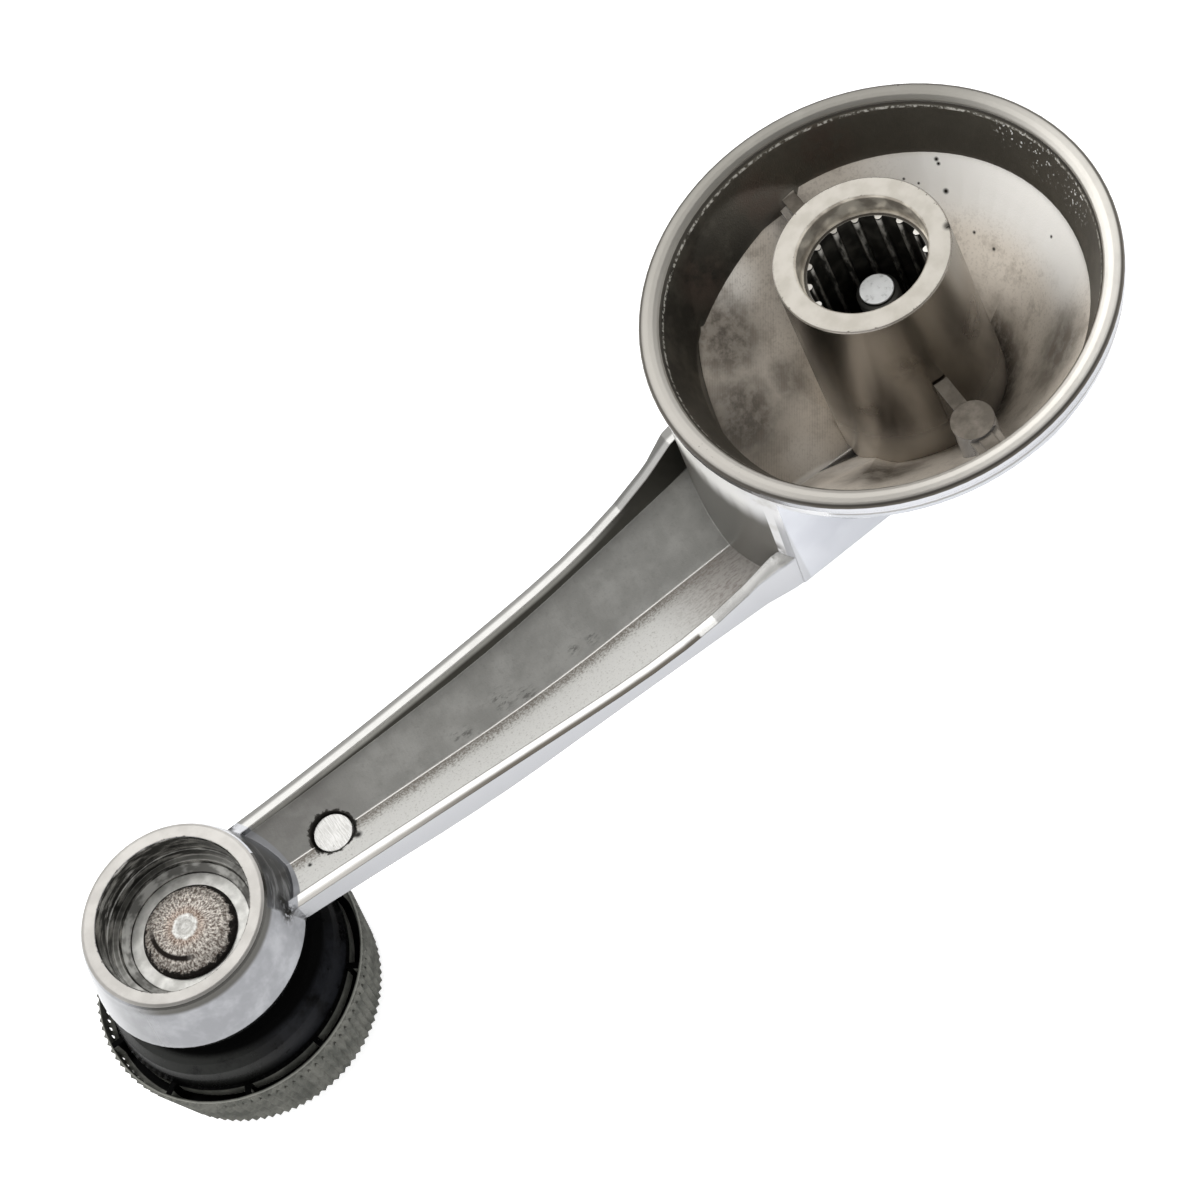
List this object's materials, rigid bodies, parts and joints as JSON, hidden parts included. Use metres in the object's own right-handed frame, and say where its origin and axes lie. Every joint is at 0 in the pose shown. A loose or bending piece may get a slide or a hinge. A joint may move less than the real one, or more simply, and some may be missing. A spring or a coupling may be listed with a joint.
{
  "type": "window crank handle",
  "caption": "Chromed die-cast window crank handle with a dished hub, a splined boss, a hollow tapered arm and a black knurled knob that turns freely on a riveted spindle",
  "frame": {"origin": "on the axis of the hub bore, at the mouth face of the boss", "axes": "+Z along the hub bore, out of the boss mouth, so the hollow underside faces up and the knob hangs below; +X from the hub axis to the knob axis; +Y completes a right-handed frame"},
  "size_m": [0.1477, 0.0548, 0.0464],
  "materials": {
    "chromed_casting": "worn bright plating over a die casting, satin inside the hollows",
    "chromed_sleeve": "plated side, machined pale end face",
    "dark_steel": "dark oiled broached steel with bright spline tips",
    "zinc_screw": "bright zinc plated",
    "spring_steel": "dull spring steel",
    "ground_steel": "freshly ground end",
    "washer_steel": "plated washer",
    "spindle_steel": "hammered brown-grey head with a bright centre",
    "black_plastic": "black moulded plastic, glossy underside and dull worn knurl",
    "brass_sleeve": "plain turned brass",
    "black_cap": "black moulded plastic"
  },
  "bodies": {
    "crank": {"crank_casting": "chromed_casting", "boss_sleeve": "chromed_sleeve", "spline_bush": "dark_steel", "retaining_screw": "zinc_screw", "screw_lock_washer": "spring_steel", "arm_stud": "ground_steel", "rivet_washer": "washer_steel", "knob_spindle": "spindle_steel", "wave_washer": "spring_steel", "thrust_washer": "washer_steel"},
    "knob": {"knob_body": "black_plastic", "knob_sleeve": "brass_sleeve", "knob_cap": "black_cap"}
  },
  "joints": [
    {"name": "knob_spin", "type": "hinge", "parent": "crank", "child": "knob", "pos_m": [0.1037, 0, -0.0346], "axis": [0, 0, -1], "continuous": true}
  ]
}
